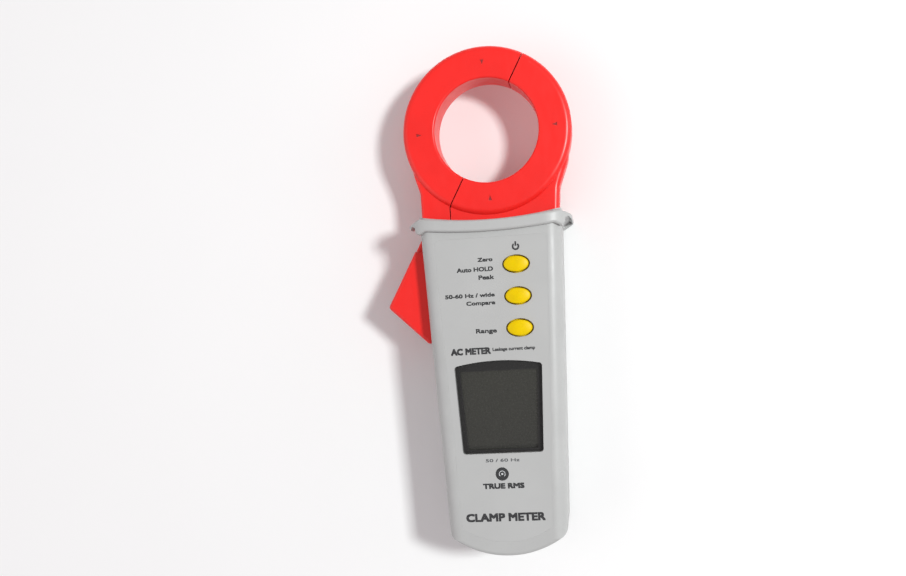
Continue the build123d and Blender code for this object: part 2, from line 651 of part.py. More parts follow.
def moving_jaw():
    px, py = PIVOT
    neck = neck_solid(moving_neck_outline(), NECK_ROUND["moving"])
    boss = rod(px, py, MID_Z - NECK_THICK / 2, MID_Z + NECK_THICK / 2, BOSS_R)
    solid = jaw_shells(1, neck, (90, 180)) + boss + trigger_block()
    start, end, foot_length, _ = spring_leg_points()
    inside = (MID_Z - NECK_THICK / 2 + JAW_WALL, MID_Z + NECK_THICK / 2 - JAW_WALL)
    inner_side = [(-19.0, -52.5), (-16.9, -52.5), (-21.4, -74.0)]
    outer_side = [(-26.8, -77.4), (-38.8, -65.6), (-28.3, -47.0)]
    hollow = prism(polygon(inner_side + outer_side, 1.0), *inside)
    for x, station in LEVER_SCREWS:
        hollow -= rod(x, -station, -10, 60, 2.9)
    solid -= hollow
    solid -= rod(px, py, -10, 60, BUSH_R[1] + 0.02)
    solid -= rod(px, py, SPRING_Z - 0.75, 60, SPRING_R + 1.0)
    leg_turn = math.radians(start)
    root = (px + SPRING_R * math.cos(leg_turn), py + SPRING_R * math.sin(leg_turn))
    groove = Pos(0, -foot_length / 2) * Rectangle(1.7, foot_length + 1)
    solid -= prism(Pos(*root) * Rot(0, 0, start) * groove, SPRING_Z - 1.1, SPRING_Z + 0.75)
    rim = [math.radians(turn) for turn in (-18, -40, -65, -88)]
    sweep_room = [(px, py)] + [(px + 14 * math.cos(turn), py + 14 * math.sin(turn)) for turn in rim]
    rest_low = SPRING_Z + spring_height() - SPRING_WIRE / 2
    solid -= prism(polygon(sweep_room), rest_low - 0.3, 60)
    solid -= block((-19.5, -13), (-57.6, -53.6), (13.4, 15.6))
    for x, station in LEVER_SCREWS:
        solid -= rod(x, -station, 0, LEVER_SEAT, HEAD_R)
        solid -= rod(x, -station, 0, MID_Z, CLEAR_R) + rod(x, -station, MID_Z - 1, 21.3, THREAD_R)
    return solid


def core(side):
    ring = tube(CORE_R, MID_Z - CORE_THICK / 2, MID_Z + CORE_THICK / 2)
    return ring & seam_half(side, CORE_GAP)


def wrap(grow_in, grow_out, end, side):
    """A sleeve round the core, from one growth of its section to another."""
    low, high = MID_Z - CORE_THICK / 2, MID_Z + CORE_THICK / 2
    outer = tube((CORE_R[0] - grow_out, CORE_R[1] + grow_out), low - grow_out, high + grow_out)
    inner = tube((CORE_R[0] - grow_in, CORE_R[1] + grow_in), low - grow_in, high + grow_in)
    return (outer - inner) & seam_half(side, end)


def bobbin(side):
    sleeve = wrap(0.05, 0.05 + BOBBIN_WALL, COIL_END - 1.0, side)
    flanges = wrap(0.05, 1.7, COIL_END - 1.0, side) - seam_half(side, COIL_END)
    return sleeve + flanges


def coil(side):
    return wrap(0.08 + BOBBIN_WALL, 0.08 + BOBBIN_WALL + COIL_BUILD, COIL_END + 0.03, side)


def pivot_pin():
    px, py = pivot_at()
    pin = rod(px, py, 3.5, 30.5, PIN_R)
    return chamfer(pin.edges().filter_by(GeomType.CIRCLE), 0.4)


def pivot_bush():
    px, py = pivot_at()
    low = MID_Z - NECK_THICK / 2 + 0.1
    return rod(px, py, low, SPRING_Z - 0.8, BUSH_R[1]) - rod(px, py, low - 1, 40, BUSH_R[0])


def lever_screws():
    return [screw(x, along(s), LEVER_SEAT, 7.5, head=2.3) for x, s in LEVER_SCREWS]


# ---- battery
def battery_cover():
    plate = block((-COVER_HALF, COVER_HALF), (along(COVER_FOOT), along(COVER_TOP)), (0, WALL))
    plate = chamfer(plate.edges().group_by(Axis.Z)[0], 0.3)
    for side in (-1, 1):
        tab = (side * 7 - 2.5, side * 7 + 2.5)
        plate += block(tab, (along(COVER_FOOT - 0.2), along(BAY_FOOT - 2)), (WALL - 0.2, WALL + 0.9))
    for n in range(5):
        y = along(COVER_FOOT - 6 - 2.2 * n)
        plate -= block((-7, 7), (y - 0.5, y + 0.5), (-1, 0.5))
    plate -= rod(0, along(COVER_SCREW), -1, 1.2, HEAD_R + 0.3)
    return plate - rod(0, along(COVER_SCREW), 0, 5, CLEAR_R)


def battery_cover_screw():
    cap = rod(0, along(COVER_SCREW), 0.1, 1.2, HEAD_R)
    cap = chamfer(cap.edges().group_by(Axis.Z)[0], 0.3)
    cross = Box(3.0, 0.55, 1.2) + Box(0.55, 3.0, 1.2)
    return cap + rod(0, along(COVER_SCREW), 1.2, 8.2, SHANK_R) - Pos(0, along(COVER_SCREW), 0.1) * cross


def battery_foam():
    return block((-9, 9), (along(136), along(104)), (WALL + 0.03, CELL_Z - CELL_R - 0.05))


def battery_cell(x, head_up):
    """An AAA cell. Its positive nub points at the jaw when head_up is true."""
    can = Cylinder(CELL_R, CELL_LENGTH - 0.8)
    can = fillet(can.edges().filter_by(GeomType.CIRCLE), 0.6)
    nub = Pos(0, 0, CELL_LENGTH / 2) * Cylinder(1.9, 0.8)
    turned = Rot(-90 if head_up else 90, 0, 0) * (can + nub)
    middle = (CELL_LENGTH - 0.8) / 2
    y = along(BAY_TOP + 1.3) - middle if head_up else along(BAY_FOOT - 1.3) + middle
    return Pos(x, y, CELL_Z) * turned


def contact_spring(x, y, toward, length):
    """A round coil between a contact plate and a cell's flat end."""
    coil_path = Helix(0.85, length - 0.8, 3.0)
    coil_solid = sweep(Plane(origin=coil_path @ 0, z_dir=coil_path % 0) * Circle(0.3), coil_path)
    return Pos(x, y, CELL_Z) * Rot(-90 * toward, 0, 0) * Pos(0, 0, 0.22) * coil_solid


def battery_bridge_contact():
    y = along(BAY_FOOT)
    plate = block((-9.8, 9.8), (y + 0.02, y + 0.4), (4.6, 12.6))
    return plate + contact_spring(-CELL_X, y + 0.4, 1, 2.5)


def top_contact(x, with_spring):
    y = along(BAY_TOP)
    plate = block((x - 4, x + 4), (y - 0.42, y - 0.02), (4.6, 12.6))
    plate += block((x - 2, x + 2), (y - 0.42, y - 0.02), (12.0, BAY_ROOF + 4.2))
    return plate + contact_spring(x, y - 0.42, -1, 2.5) if with_spring else plate


def battery_leads():
    """Leads from the contact tabs to the underside of the board."""
    made = []
    for x in (-CELL_X, CELL_X):
        low = BAY_ROOF + 4.25
        y = along(BAY_TOP + 0.22)
        end = BOARD_Z[0] - 0.03
        points = [(x, y, low), (x, y, low + 2.6), (x * 0.6, y + 2.4, end - 2.6), (x * 0.6, y + 2.4, end)]
        made.append(wire(points, [0.9, 0.9], 1.1))
    return made


def fixed_coil_leads():
    """Leads from the fixed jaw's tail to the underside of the board."""
    made = []
    for x in (10.4, 11.9):
        end = BOARD_Z[0] - 0.03
        points = [(x, along(46.4), MID_Z), (x, along(53.0), MID_Z), (x, along(53.0), end)]
        made.append(wire(points, [2.9], 1.1))
    return made


def moving_coil_leads():
    """Flexible leads from the lever to the underside of the board, with slack for its swing."""
    made = []
    for y_off in (0, 1.5):
        y = along(54.9 + y_off)
        end = BOARD_Z[0] - 0.03
        points = [(-15.2, y, 14.5), (-8.4, y, 14.5), (-4.6, y, 19.6), (-4.6, y, end)]
        made.append(wire(points, [3.0, 3.0], 1.1))
    return made


# ---- assembly
def add(name, shape):
    parts[name] = shape


def at_jaw(shape):
    return Pos(0, JAW_Y, 0) * shape


add("front_case", front_case())
add("rear_case", rear_case())
add("face_label", face_label())
add("rating_plate", prism(rating_outline(), 0.03, 0.28))
add("display_window", display_window())
add("display_bezel", display_bezel())
add("lcd_glass", lcd_glass())
add("lcd_connector_strips", lcd_connector_strips())
add("main_board", main_board())
add("board_screws", board_screws())
add("measuring_chips", measuring_chips())
add("capacitors", capacitors())
add("trimmers", trimmers())
add("crystal", crystal())
add("buzzer", buzzer())
add("key_switches", key_switches())
for key, key_station in KEY_STATIONS.items():
    add(f"{key}_key", key_cap(key_station))
    add(f"{key}_switch_plunger", key_plunger(key_station))
for jaw, jaw_solid, jaw_side in (("fixed", fixed_jaw(), -1), ("moving", moving_jaw(), 1)):
    add(f"{jaw}_jaw_front", at_jaw(split(jaw_solid, True)))
    add(f"{jaw}_jaw_rear", at_jaw(split(jaw_solid, False)))
    add(f"{jaw}_jaw_core", at_jaw(core(jaw_side)))
    add(f"{jaw}_jaw_bobbin", at_jaw(bobbin(jaw_side)))
    add(f"{jaw}_jaw_coil", at_jaw(coil(jaw_side)))
add("fixed_coil_leads", fixed_coil_leads())
add("moving_coil_leads", moving_coil_leads())
add("pivot_pin", pivot_pin())
add("pivot_bush", pivot_bush())
add("jaw_spring", at_jaw(jaw_spring()))
add("lever_screws", lever_screws())
add("neck_screws", [screw(x, along(s), 3.0, 27.0) for x, s in NECK_SCREWS])
add("foot_screws", [screw(x, along(s), 8.0, 19.0) for x, s in FOOT_SCREWS])
add("battery_cover", battery_cover())
add("battery_cover_screw", battery_cover_screw())
add("battery_foam", battery_foam())
add("battery_cells", [battery_cell(-CELL_X, True), battery_cell(CELL_X, False)])
add("battery_bridge_contact", battery_bridge_contact())
add("battery_positive_contact", top_contact(-CELL_X, False))
add("battery_negative_contact", top_contact(CELL_X, True))
add("battery_leads", battery_leads())

os.makedirs("parts", exist_ok=True)
for name, shape in parts.items():
    solids = [s for piece in (shape if isinstance(shape, list) else [shape]) for s in piece.solids()]
    export_step(Compound(children=solids) if len(solids) > 1 else solids[0], f"parts/{name}.step")
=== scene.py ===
import json
import math

import bmesh
import bpy
from mathutils import Matrix, Vector


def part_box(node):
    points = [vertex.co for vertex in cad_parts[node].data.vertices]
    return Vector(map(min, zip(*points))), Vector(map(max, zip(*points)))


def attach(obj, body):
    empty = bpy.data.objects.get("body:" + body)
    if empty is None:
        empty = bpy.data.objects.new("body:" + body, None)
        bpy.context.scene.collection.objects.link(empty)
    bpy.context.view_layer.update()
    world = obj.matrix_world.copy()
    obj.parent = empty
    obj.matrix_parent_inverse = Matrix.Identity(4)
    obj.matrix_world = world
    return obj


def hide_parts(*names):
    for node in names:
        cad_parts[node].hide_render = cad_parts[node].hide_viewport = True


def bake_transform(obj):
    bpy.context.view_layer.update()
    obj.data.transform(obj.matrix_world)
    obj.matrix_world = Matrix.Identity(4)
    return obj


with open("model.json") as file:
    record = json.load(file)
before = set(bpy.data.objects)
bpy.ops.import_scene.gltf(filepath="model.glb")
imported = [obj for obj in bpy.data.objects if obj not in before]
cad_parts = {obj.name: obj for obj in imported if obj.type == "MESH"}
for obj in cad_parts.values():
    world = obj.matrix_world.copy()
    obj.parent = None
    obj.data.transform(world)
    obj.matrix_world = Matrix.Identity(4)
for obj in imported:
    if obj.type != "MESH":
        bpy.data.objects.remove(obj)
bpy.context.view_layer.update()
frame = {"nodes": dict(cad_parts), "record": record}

# ---- places, in metres, from the frame
MM = 0.001
RECORD = frame["record"]
MOUNTS = {mount["name"]: mount for mount in RECORD["mounts"]}
JAW_Y = MOUNTS["jaw_aperture"]["pos_m"][1]
FACE_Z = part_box("face_label")[1][2]
RING_Z = (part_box("fixed_jaw_rear")[0][2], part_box("fixed_jaw_front")[1][2])
PLATE_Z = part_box("rating_plate")[0][2]
COVER_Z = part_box("battery_cover")[0][2]
PRINT_THICK = 0.02 * MM
SHADE_SHEET_THICK = 0.15 * MM  # the sheets of painted shade in the ring's arrowheads
FLOOR_Z = -0.03 * MM  # just clear of the back
MARK_TIP, MARK_BASE, MARK_HALF = 25.3, 26.9, 0.5  # arrowheads' ends and half width, in mm


def along(station):
    """Y of a place given as its distance below the jaw axis, in mm."""
    return JAW_Y - station * MM


def middle(node):
    low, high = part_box(node)
    return Vector([(a + b) / 2 for a, b in zip(low, high)])


# ---- camera: above the face, a little to the right of it and turned with the meter's lean
CAMERA_AT = Vector((0.0358, 0.0328, 0.3841))
LOOK_AT = Vector((-0.0149, 0.0374, 0.0340))
LEAN = math.radians(3.54)
LENS = 37.75


def make_camera():
    data = bpy.data.cameras.new("camera")
    data.lens, data.sensor_width, data.clip_start = LENS, 36.0, 0.01
    camera = bpy.data.objects.new("camera", data)
    bpy.context.collection.objects.link(camera)
    back = (CAMERA_AT - LOOK_AT).normalized()
    up_hint = Vector((math.sin(LEAN), math.cos(LEAN), 0))
    right = up_hint.cross(back).normalized()
    turn = Matrix((right, back.cross(right), back)).transposed()
    camera.matrix_world = Matrix.Translation(CAMERA_AT) @ turn.to_4x4()
    bpy.context.scene.camera = camera


# ---- node helpers
class Tree:
    """A material's node tree, with short calls for the nodes that the finishes share."""

    def __init__(self, name, **sockets):
        self.material = bpy.data.materials.new(name)
        self.material.use_nodes = True
        self.nodes, self.links = self.material.node_tree.nodes, self.material.node_tree.links
        self.shader = self.nodes["Principled BSDF"]
        for socket, value in sockets.items():
            self.shader.inputs[socket.replace("_", " ")].default_value = value
        self.place = self.nodes.new("ShaderNodeTexCoord").outputs["Object"]

    def node(self, kind, inputs=(), **settings):
        made = self.nodes.new("ShaderNode" + kind)
        for setting, value in settings.items():
            setattr(made, setting, value)
        for socket, value in dict(inputs).items():
            self.feed(made.inputs[socket], value)
        return made

    def feed(self, socket, value):
        if isinstance(value, bpy.types.NodeSocket):
            self.links.new(value, socket)
        else:
            socket.default_value = value

    def stretched(self, scale):
        return self.node("Mapping", {"Vector": self.place, "Scale": scale}).outputs["Vector"]

    def noise(self, scale, detail=3.0, roughness=0.5, vector=None):
        inputs = {"Vector": vector or self.place, "Scale": scale, "Detail": detail, "Roughness": roughness}
        return self.node("TexNoise", inputs).outputs["Fac"]

    def spread(self, value, low, high, to_low, to_high):
        inputs = {"Value": value, "From Min": low, "From Max": high, "To Min": to_low, "To Max": to_high}
        return self.node("MapRange", inputs).outputs["Result"]

    def times(self, one, other):
        return self.node("Math", {0: one, 1: other}, operation="MULTIPLY").outputs[0]

    def mix(self, factor, one, other):
        made = self.node("Mix", {"Factor": factor}, data_type="RGBA")
        self.feed(made.inputs[6], one)
        self.feed(made.inputs[7], other)
        return made.outputs[2]

    def edges(self, width, patchy=220.0):
        """A mask of worn edges, broken up so that they don't look drawn."""
        bevel = self.node("Bevel", {"Radius": width}, samples=6).outputs["Normal"]
        flat = self.node("NewGeometry").outputs["Normal"]
        facing = self.node("VectorMath", {0: bevel, 1: flat}, operation="DOT_PRODUCT").outputs["Value"]
        mask = self.spread(facing, 0.995, 0.90, 0.0, 1.0)
        return self.times(mask, self.spread(self.noise(patchy, 4.0), 0.42, 0.62, 0.25, 1.0))

    def bump(self, height, strength, distance, under=None):
        inputs = {"Height": height, "Strength": strength, "Distance": distance}
        if under:
            inputs["Normal"] = under
        return self.node("Bump", inputs).outputs["Normal"]

    def finish(self, color=None, roughness=None, normal=None):
        for socket, value in (("Base Color", color), ("Roughness", roughness), ("Normal", normal)):
            if value is not None:
                self.feed(self.shader.inputs[socket], value)
        return self.material


def shade(color, factor):
    return tuple(channel * factor for channel in color[:3]) + (1.0,)


# ---- finishes
def moulded(name, color, rough=0.42, grain=2600.0, depth=0.05, wear=0.35, **sockets):
    """Injection-moulded plastic: spark-eroded grain, faint mottling, handled and rubbed at its edges."""
    tree = Tree(name, **sockets)
    mottle = tree.spread(tree.noise(70.0, 4.0), 0.35, 0.65, 0.0, 1.0)
    body = tree.mix(mottle, shade(color, 0.965), shade(color, 1.02))
    specks = tree.spread(tree.noise(1500.0, 2.0), 0.62, 0.75, 0.0, 0.35)
    body = tree.mix(specks, body, shade(color, 0.8))
    worn = tree.times(tree.edges(0.45 * MM), wear)
    pale = tuple(channel + (0.9 - channel) * 0.25 for channel in color[:3]) + (1.0,)
    body = tree.mix(worn, body, pale)
    rubs = tree.noise(420.0, 2.0, 0.5, tree.stretched((1.0, 0.35, 1.0)))
    gloss = tree.spread(rubs, 0.3, 0.7, rough - 0.04, rough + 0.05)
    pores = tree.bump(tree.noise(grain, 3.0, 0.6), depth, 0.12 * MM)
    waves = tree.bump(tree.noise(55.0, 1.0), 0.06, 0.6 * MM, pores)
    return tree.finish(body, gloss, waves)


def silicone(name, color):
    tree = Tree(name, Subsurface_Weight=0.05, Subsurface_Scale=0.4 * MM, Specular_IOR_Level=0.12)
    tree.shader.inputs["Subsurface Radius"].default_value = (1.0, 0.5, 0.1)
    touch = tree.spread(tree.noise(260.0, 4.0), 0.4, 0.7, 0.0, 1.0)
    body = tree.mix(touch, color, shade(color, 0.93))
    gloss = tree.spread(tree.noise(700.0, 3.0), 0.3, 0.7, 0.3, 0.42)
    return tree.finish(body, gloss, tree.bump(tree.noise(1800.0, 2.0), 0.05, 0.1 * MM))


def overlay(name, color):
    """Printed film: finer and flatter than the moulding round it."""
    tree = Tree(name)
    mottle = tree.spread(tree.noise(45.0, 3.0), 0.35, 0.65, 0.0, 1.0)
    body = tree.mix(mottle, shade(color, 0.975), shade(color, 1.015))
    gloss = tree.spread(tree.noise(320.0, 5.0, 0.65), 0.3, 0.7, 0.36, 0.48)
    return tree.finish(body, gloss, tree.bump(tree.noise(3800.0, 2.0), 0.04, 0.08 * MM))


def display(name):
    """Blank liquid-crystal display behind its polariser, with a faint grain and clouding, and painted
    shading that makes it darker towards the bottom and lighter towards the top.
    """
    tree = Tree(name, Specular_IOR_Level=0.6, Coat_Weight=0.25, Coat_Roughness=0.12)
    low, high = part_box("lcd_glass")
    height = tree.node("SeparateXYZ", {0: tree.place}).outputs["Y"]
    # painted shading: darker towards the bottom, lighter towards the top, with the clouding added
    shade_gradient = tree.spread(height, low[1], high[1], 0.0, 1.0)
    cloud = tree.spread(tree.noise(60.0, 2.0), 0.3, 0.7, -0.08, 0.08)
    shade_gradient = tree.node("Math", {0: shade_gradient, 1: cloud}, operation="ADD", use_clamp=True).outputs[0]
    body = tree.mix(shade_gradient, (0.048, 0.050, 0.041, 1), (0.054, 0.056, 0.044, 1))
    gloss = tree.spread(tree.noise(1200.0, 2.0), 0.3, 0.7, 0.22, 0.3)
    return tree.finish(body, gloss, tree.bump(tree.noise(5000.0, 1.0), 0.03, 0.05 * MM))


def clear(name):
    """The window's acrylic: thin, faintly smoked, with a few fine wipe marks."""
    tree = Tree(name, Alpha=0.16, Specular_IOR_Level=0.8)
    body = tree.mix(tree.noise(90.0, 2.0), (0.02, 0.02, 0.02, 1), (0.035, 0.035, 0.032, 1))
    wipes = tree.noise(600.0, 6.0, 0.7, tree.stretched((0.05, 1.0, 1.0)))
    return tree.finish(body, tree.spread(wipes, 0.35, 0.7, 0.05, 0.16))


def metal(name, color, rough=0.3, brush=(1.0, 1.0, 0.05), bump=0.08):
    """Drawn or turned metal, brushed along the axis whose scale is small."""
    tree = Tree(name, Metallic=1.0)
    grain = tree.noise(2200.0, 4.0, 0.6, tree.stretched(brush))
    tarnish = tree.spread(tree.noise(180.0, 4.0), 0.4, 0.7, 0.0, 1.0)
    body = tree.mix(tarnish, color, shade(color, 0.78))
    gloss = tree.spread(grain, 0.3, 0.7, rough - 0.08, rough + 0.12)
    return tree.finish(body, gloss, tree.bump(grain, bump, 0.05 * MM))


def laminated(name, color):
    """A stack of thin steel sheets, seen as fine lines across the jaw's thickness."""
    tree = Tree(name, Metallic=1.0)
    stack = {"Vector": tree.place, "Scale": 320.0, "Distortion": 0.2}
    sheets = tree.node("TexWave", stack, bands_direction="Z")
    body = tree.mix(sheets.outputs["Fac"], shade(color, 0.55), color)
    gloss = tree.spread(tree.noise(500.0, 4.0), 0.3, 0.7, 0.28, 0.46)
    return tree.finish(body, gloss, tree.bump(sheets.outputs["Fac"], 0.3, 0.05 * MM))


def winding(name, color):
    """Enamelled wire, laid in close turns."""
    tree = Tree(name, Metallic=0.7)
    turns = tree.node("TexWave", {"Vector": tree.place, "Scale": 900.0, "Distortion": 0.8, "Detail": 2.0})
    turns.wave_type = "RINGS"
    body = tree.mix(turns.outputs["Fac"], shade(color, 0.5), color)
    gloss = tree.spread(turns.outputs["Fac"], 0.0, 1.0, 0.45, 0.25)
    return tree.finish(body, gloss, tree.bump(turns.outputs["Fac"], 0.4, 0.06 * MM))


def circuit(name, color):
    """Solder mask over copper tracks."""
    tree = Tree(name, Coat_Weight=0.3)
    cells = {"Vector": tree.stretched((1.0, 0.35, 1.0)), "Scale": 260.0}
    tracks = tree.node("TexVoronoi", cells, feature="DISTANCE_TO_EDGE", distance="MANHATTAN")
    on_track = tree.spread(tracks.outputs["Distance"], 0.05, 0.12, 1.0, 0.0)
    body = tree.mix(on_track, color, shade(color, 1.9))
    gloss = tree.spread(tree.noise(600.0), 0.3, 0.7, 0.3, 0.42)
    return tree.finish(body, gloss, tree.bump(on_track, 0.25, 0.04 * MM))


def soft_foam(name, color):
    tree = Tree(name, Sheen_Weight=0.3)
    cells = tree.node("TexVoronoi", {"Vector": tree.place, "Scale": 1400.0}).outputs["Distance"]
    # painted shade in the pores and painted light on the ridges: darker where the bump sinks the cells,
    # lighter between them
    body = tree.mix(cells, shade(color, 0.6), shade(color, 1.3))
    return tree.finish(body, tree.spread(cells, 0.0, 1.0, 0.8, 0.95), tree.bump(cells, 0.7, 0.2 * MM))


def ink(name, color, rough=0.5):
    """Screen print, slightly uneven in cover."""
    tree = Tree(name)
    cover = tree.spread(tree.noise(2600.0, 3.0), 0.35, 0.75, 0.0, 1.0)
    body = tree.mix(cover, color, tuple(c + 0.035 for c in color[:3]) + (1.0,))
    gloss = tree.spread(tree.noise(1500.0), 0.3, 0.7, rough - 0.06, rough + 0.08)
    return tree.finish(body, gloss, tree.bump(cover, 0.1, 0.02 * MM))


FINISHES = {
    "case_grey": moulded("case_grey", (0.44, 0.445, 0.44)),
    "label_grey": overlay("label_grey", (0.44, 0.445, 0.44)),
    "jaw_red": moulded(
        "jaw_red", (0.86, 0.016, 0.012), 0.32, grain=2200.0, depth=0.03, wear=0.1, Specular_IOR_Level=0.45
    ),
    "key_yellow": silicone("key_yellow", (0.77, 0.54, 0.0, 1)),
    "bezel_black": moulded("bezel_black", (0.010, 0.010, 0.010), 0.5, wear=0.1),
    "window_clear": clear("window_clear"),
    "lcd_olive": display("lcd_olive"),
    "connector_rubber": moulded("connector_rubber", (0.12, 0.12, 0.12), 0.7, wear=0.0),
    "board_green": circuit("board_green", (0.02, 0.16, 0.06, 1)),
    "chip_black": moulded("chip_black", (0.02, 0.02, 0.022), 0.5, grain=3200.0, depth=0.1, wear=0.1),
    "component_blue": moulded("component_blue", (0.03, 0.12, 0.35), 0.3, wear=0.1),
    "can_steel": metal("can_steel", (0.72, 0.72, 0.72, 1)),
    "core_steel": laminated("core_steel", (0.45, 0.45, 0.46, 1)),
    "bobbin_nylon": moulded("bobbin_nylon", (0.75, 0.72, 0.62), 0.45),
    "copper_enamel": winding("copper_enamel", (0.55, 0.19, 0.07, 1)),
    "lead_red": moulded("lead_red", (0.6, 0.03, 0.03), 0.5, wear=0.0),
    "screw_steel": metal("screw_steel", (0.62, 0.61, 0.58, 1), 0.32, (1.0, 1.0, 1.0)),
    "spring_steel": metal("spring_steel", (0.55, 0.55, 0.56, 1), 0.28, (0.2, 1.0, 1.0)),
    "bush_brass": metal("bush_brass", (0.8, 0.58, 0.22, 1), 0.25, (1.0, 1.0, 0.1)),
    "contact_nickel": metal("contact_nickel", (0.8, 0.79, 0.75, 1), 0.2, (0.1, 1.0, 1.0)),
    "cell_sleeve": moulded("cell_sleeve", (0.16, 0.16, 0.17), 0.25, wear=0.1),
    "foam_grey": soft_foam("foam_grey", (0.12, 0.12, 0.12, 1)),
    "plate_silver": metal("plate_silver", (0.66, 0.67, 0.68, 1), 0.38, (0.05, 1.0, 1.0), 0.05),
}


def finish_frame():
    """Every CAD node that stays gets the finish of its slot."""
    for part in RECORD["subparts"]:
        shown = frame["nodes"][part["node"]]
        shown.data.materials.clear()
        shown.data.materials.append(FINISHES[part["material_slot"]])


# ---- pieces that cross the pivot
def crossing(name, node):
    """A copy of a node that bends as the jaw swings, from its end in the lever to its end in the case; the
    copy keeps its rest shape and the node is hidden.
    """
    piece = bpy.data.objects.new(name, frame["nodes"][node].data.copy())
    bpy.context.collection.objects.link(piece)
    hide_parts(node)
    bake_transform(piece)


def wound_spring():
    """A copy of the spring in one piece, in its rest shape: on the meter the lower leg turns with the
    lever, and the upper one stays behind the case's peg.
    """
    crossing("wound_spring", "jaw_spring")


def flexed_leads():
    """The leads leave the lever on the left and rise to the board on the right."""
    crossing("flexed_leads", "moving_coil_leads")


# ---- print, and dark sheets of painted shade in the ring's arrowheads
INK = ink("print_black", (0.012, 0.013, 0.015, 1))
INK_GREY = ink("print_grey", (0.07, 0.075, 0.08, 1))
# Dark red, used as painted shade in the ring's arrowheads.
MARK_SHADE_RED = ink("painted_shade_dark_red", (0.28, 0.008, 0.008, 1))
INK_PALE = ink("print_pale", (0.62, 0.64, 0.65, 1))


def keep(obj, material, body):
    obj.data.materials.append(material)
    bpy.context.collection.objects.link(obj)
    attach(obj, body)
    return obj


def slab(name, outlines, low, high, material, body):
    """Flat shapes with some thickness. Each outline is a closed list of (x, y)."""
    curve = bpy.data.curves.new(name, "CURVE")
    curve.dimensions, curve.fill_mode = "2D", "BOTH"
    for outline in outlines:
        spline = curve.splines.new("POLY")
        spline.points.add(len(outline) - 1)
        for point, (x, y) in zip(spline.points, outline):
            point.co = (x, y, 0, 1)
        spline.use_cyclic_u = True
    curve.extrude = (high - low) / 2
    return as_mesh(name, curve, (0, 0, (low + high) / 2), Matrix(), material, body)


def as_mesh(name, curve, place, turn, material, body):
    """Turns a curve or text into a mesh piece whose origin is the frame's."""
    source = bpy.data.objects.new(name + "_curve", curve)
    bpy.context.collection.objects.link(source)
    bpy.context.view_layer.update()
    mesh = bpy.data.meshes.new_from_object(source.evaluated_get(bpy.context.evaluated_depsgraph_get()))
    mesh.transform(Matrix.Translation(place) @ turn)
    mesh.materials.clear()
    mesh.name = name
    bpy.data.objects.remove(source)
    return keep(bpy.data.objects.new(name, mesh), material, body)


def widened(mesh, step):
    """The mesh joined with a copy of itself, moved by step."""
    mesh.transform(Matrix.Translation(-step / 2))
    copied = mesh.copy()
    copied.transform(Matrix.Translation(step))
    base, tool = [bpy.data.objects.new(mesh.name + "_joined", shape) for shape in (mesh, copied)]
    for obj in (base, tool):
        bpy.context.collection.objects.link(obj)
    union = base.modifiers.new("union", "BOOLEAN")
    union.operation, union.solver, union.object = "UNION", "MANIFOLD", tool
    bpy.context.view_layer.update()
    made = bpy.data.meshes.new_from_object(base.evaluated_get(bpy.context.evaluated_depsgraph_get()))
    for obj in (base, tool):
        bpy.data.objects.remove(obj)
    return made


def thickened(mesh, gain):
    """The same print with bolder strokes. Each step is less than a stroke, so no gap opens in one."""
    form = bmesh.new()
    form.from_mesh(mesh)
    bmesh.ops.remove_doubles(form, verts=form.verts, dist=0.0001 * MM)
    form.to_mesh(mesh)
    form.free()
    for step in 2 * [Vector((gain / 2, 0, 0))] + 2 * [Vector((0, gain / 2, 0))]:
        mesh = widened(mesh, step)
    return mesh


def words(name, text, x, y, cap, width=None, align="LEFT", bold=0.0, material=INK, under=False, z=None):
    """Printed words. In mm: cap, a capital's height; width, the line's length; bold, the strokes' gain."""
    curve = bpy.data.curves.new(name, "FONT")
    curve.body, curve.align_x, curve.align_y = text, align, "CENTER"
    curve.size = cap * MM / 0.70
    curve.extrude = PRINT_THICK / 2
    curve.resolution_u = 3
    squeeze = 1.0
    if width:
        probe = bpy.data.objects.new(name + "_probe", curve)
        bpy.context.collection.objects.link(probe)
        bpy.context.view_layer.update()
        squeeze = width * MM / probe.dimensions.x
        bpy.data.objects.remove(probe)
    turn = Matrix.Diagonal((squeeze, 1, 1, 1))
    if under:
        turn = Matrix.Rotation(math.pi, 4, "Y") @ turn
    level = z if z is not None else FACE_Z + PRINT_THICK / 2
    made = as_mesh(name, curve, (x, y, level), turn, material, "housing")
    if bold:
        made.data = thickened(made.data, bold * MM)
    return made


def ring_points(x, y, radius, start=0.0, stop=360.0, steps=48):
    turns = [math.radians(start + (stop - start) * n / steps) for n in range(steps)]
    return [(x + radius * math.cos(t), y + radius * math.sin(t)) for t in turns]


def face_print():
    key_x = middle("power_key").x
    label_x = key_x - 8.6 * MM
    # For each line: its place below the key's middle, its text, a capital's height and its length, in mm.
    lines = {
        "power": ((-2.2, "Zero", 1.35, 5.4), (1.3, "Auto HOLD", 1.5, 13.4), (4.4, "Peak", 1.5, 5.6)),
        "compare": ((-0.9, "50-60 Hz / wide", 1.35, 18.4), (2.0, "Compare", 1.4, 10.6)),
        "range": ((0.6, "Range", 1.5, 7.6),),
    }
    for key, rows in lines.items():
        y = middle(f"{key}_key").y
        for n, (drop, text, cap, width) in enumerate(rows):
            words(f"{key}_words_{n}", text, label_x, y - drop * MM, cap, width, "RIGHT", 0.2)
    words("type_words", "AC METER", -17.0 * MM, along(83.7), 2.2, 14.6, "LEFT", 0.36)
    words("type_small_words", "Leakage current clamp", -1.6 * MM, along(83.3), 1.15, 15.6, "LEFT", 0.14)
    words("input_words", "50 / 60 Hz", -0.4 * MM, along(124.3), 1.1, 12.5, "CENTER", 0.1, INK_GREY)
    words("rms_words", "TRUE RMS", -0.5 * MM, along(133.8), 1.75, 15.0, "CENTER", 0.34)
    words("name_words", "CLAMP METER", -0.6 * MM, along(145.4), 2.7, 29.0, "CENTER", 0.42)


